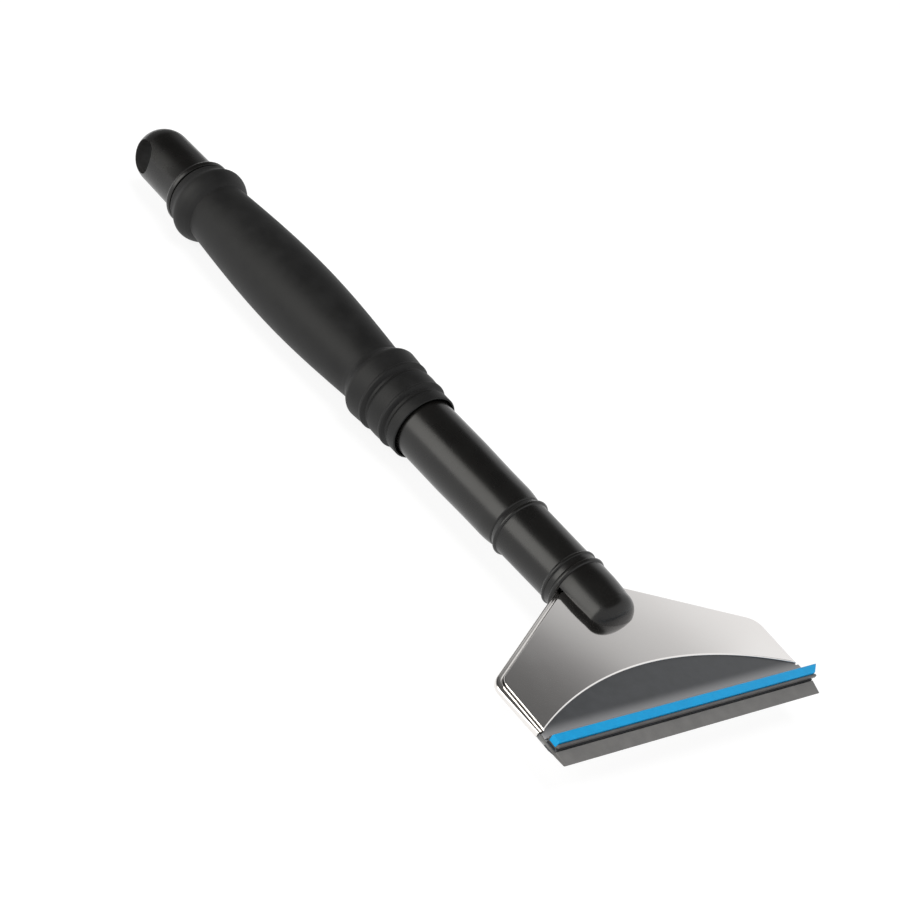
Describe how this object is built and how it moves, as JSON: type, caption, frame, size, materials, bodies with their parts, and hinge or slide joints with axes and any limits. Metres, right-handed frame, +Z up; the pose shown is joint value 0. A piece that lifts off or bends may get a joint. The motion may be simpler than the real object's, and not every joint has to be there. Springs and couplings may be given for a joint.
{
  "type": "long-handled glass cleaner",
  "caption": "Hand glass cleaner: polished sheet-metal head with a blue wiping strip and grey rubber lip on a round black handle with soft grip and hang hole.",
  "frame": {"origin": "middle of the hang hole through the end cap, on the handle's axis", "axes": "+Y along the handle away from the head, +X along the hang hole and the lip, to the right seen from the polished face with the head nearest, +Z up out of the polished face"},
  "size_m": [0.1148, 0.296, 0.0278],
  "materials": {
    "hard_black": "satin-gloss moulded black plastic with a fine grain",
    "soft_grip": "matte soft-touch rubber",
    "polished_cover": "mirror-polished sheet metal",
    "core_steel": "plain rolled steel",
    "screw_steel": "plain turned steel",
    "carrier_slate": "satin slate-grey moulded plastic",
    "insert_black": "matte black extruded plastic",
    "strip_blue": "smooth firm blue rubber",
    "lip_rubber": "matte mid-grey rubber"
  },
  "bodies": {
    "tool": {"end_cap": "hard_black", "grip_sleeve": "soft_grip", "handle_tube": "hard_black", "neck_socket": "hard_black", "jaw_screws": "screw_steel", "core_tang": "core_steel", "top_cover": "polished_cover", "bottom_cover": "polished_cover", "blade_carrier": "carrier_slate", "cover_rivets": "screw_steel"},
    "insert": {"strip_insert": "insert_black", "blue_strip": "strip_blue"},
    "lip": {"rubber_lip": "lip_rubber"}
  },
  "joints": [
    {"name": "insert_slide", "type": "slide", "parent": "tool", "child": "insert", "axis": [1, 0, 0], "range_m": [-0.113, 0.111]},
    {"name": "lip_slide", "type": "slide", "parent": "tool", "child": "lip", "axis": [1, 0, 0], "range_m": [-0.11, 0.11]}
  ]
}
